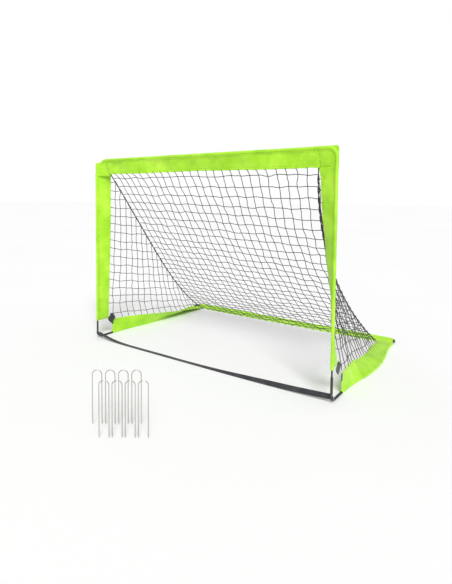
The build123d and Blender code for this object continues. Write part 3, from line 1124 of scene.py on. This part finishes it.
def make_strap():
    for name, low, high in (("strap_tail_left", STRAP_POINTS[0][0], STRAP_SPLITS[0] + MM),
                            ("strap_middle", *STRAP_SPLITS),
                            ("strap_tail_right", STRAP_SPLITS[1] - MM, STRAP_POINTS[-1][0])):
        piece = strap_piece(name, low, high)
        if name == "strap_middle":
            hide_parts("front_strap")
            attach(piece, "base")
            continue
        side = name.split("_")[-1]
        sign = SIDES[side]
        end, start = (low, high) if sign < 0 else (high, low)
        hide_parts("strap_end_" + side)
        tacks = bar_tacks("strap_tacks_" + side, [end - sign * inwards for inwards in (0.012, 0.040)])
        for part in (piece, tacks):
            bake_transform(part)
        loop = strap_loop(side, sign)
        fold_with_spring(loop)


def fold_with_spring(piece):
    """Bakes the piece's placement into its mesh."""
    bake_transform(piece)


def make_springs():
    for side, sign in SIDES.items():
        piece = corner_spring(side, sign)
        fold_with_spring(piece)


def dress_cad_nodes():
    """The CAD pieces that stay get their real finish."""
    finish = {"rod": FIBREGLASS, "ferrule": TUBE, "elbow": TUBE, "stake": STAKE_STEEL}
    for name, node in frame["nodes"].items():
        for word, material in finish.items():
            if word in name:
                for place in node.material_slots:
                    place.material = material


# ------------------------------------------------------------------ stage, lights and camera
def stage():
    mesh = bpy.data.meshes.new("floor")
    size = 30.0
    corners = [(-size, -size, 0), (size, -size, 0), (size, size, 0), (-size, size, 0)]
    mesh.from_pydata(corners, [], [(0, 1, 2, 3)])
    floor = bpy.data.objects.new("floor", mesh)
    bpy.context.scene.collection.objects.link(floor)
    paint = Shader("floor_paint", Roughness=0.9, Specular_IOR_Level=0.1)
    tone = paint.grain(paint.place(), 0.6)
    paint.feed("Base Color", paint.ramp(tone, [(0.3, (0.95, 0.95, 0.95)), (0.7, (0.97, 0.97, 0.97))]))
    mesh.materials.append(paint.material)


def sun(name, towards, strength, spread):
    """A soft light from far away, even all over the floor. spread is in degrees."""
    data = bpy.data.lights.new(name, "SUN")
    data.energy, data.angle = strength, radians(spread)
    light = bpy.data.objects.new(name, data)
    light.rotation_euler = Vector(towards).to_track_quat("Z", "Y").to_euler()
    bpy.context.scene.collection.objects.link(light)


def world():
    """A dim sky for the light, and a white one behind the object."""
    made = bpy.data.worlds.new("studio")
    made.use_nodes = True
    nodes, links = made.node_tree.nodes, made.node_tree.links
    sky = nodes["Background"]
    sky.inputs["Strength"].default_value = SKY
    white = nodes.new("ShaderNodeBackground")
    white.inputs["Color"].default_value = (1, 1, 1, 1)
    sky.inputs["Color"].default_value = (1, 1, 1, 1)
    seen, mix = nodes.new("ShaderNodeLightPath"), nodes.new("ShaderNodeMixShader")
    links.new(seen.outputs["Is Camera Ray"], mix.inputs["Fac"])
    links.new(sky.outputs["Background"], mix.inputs[1])
    links.new(white.outputs["Background"], mix.inputs[2])
    links.new(mix.outputs["Shader"], nodes["World Output"].inputs["Surface"])
    bpy.context.scene.world = made


def lights():
    world()
    sun("key", towards=(0.48, -0.56, 0.68), strength=2.25, spread=22)
    bpy.context.scene.view_settings.view_transform = "Standard"


def camera():
    """Fitted to the photo: it stands to the right of the goal mouth and looks back across it."""
    data = bpy.data.cameras.new("camera")
    data.lens, data.sensor_width = 28.97, 36.0
    data.shift_x, data.shift_y = 0.0838, -0.1202
    made = bpy.data.objects.new("camera", data)
    forward = Vector((-0.616308, 0.785134, -0.061059)).normalized()
    right = Vector((0.786454, 0.617638, 0.003770)).normalized()
    up = right.cross(forward)
    turn = Matrix((right, up, -forward)).transposed()
    made.matrix_world = Matrix.Translation((1.16495, -1.59920, 0.73570)) @ turn.to_4x4()
    bpy.context.scene.collection.objects.link(made)
    bpy.context.scene.camera = made


def main():
    crossbar, rear = crossbar_band(), rear_band()
    uprights = {side: upright_band(side, sign) for side, sign in SIDES.items()}
    rails = {side: side_band(sign) for side, sign in SIDES.items()}
    make_front(crossbar, uprights)
    make_base(rails, rear)
    make_net(crossbar, rear, uprights, rails)
    make_strap()
    make_springs()
    dress_cad_nodes()
    stage()
    lights()
    camera()


main()
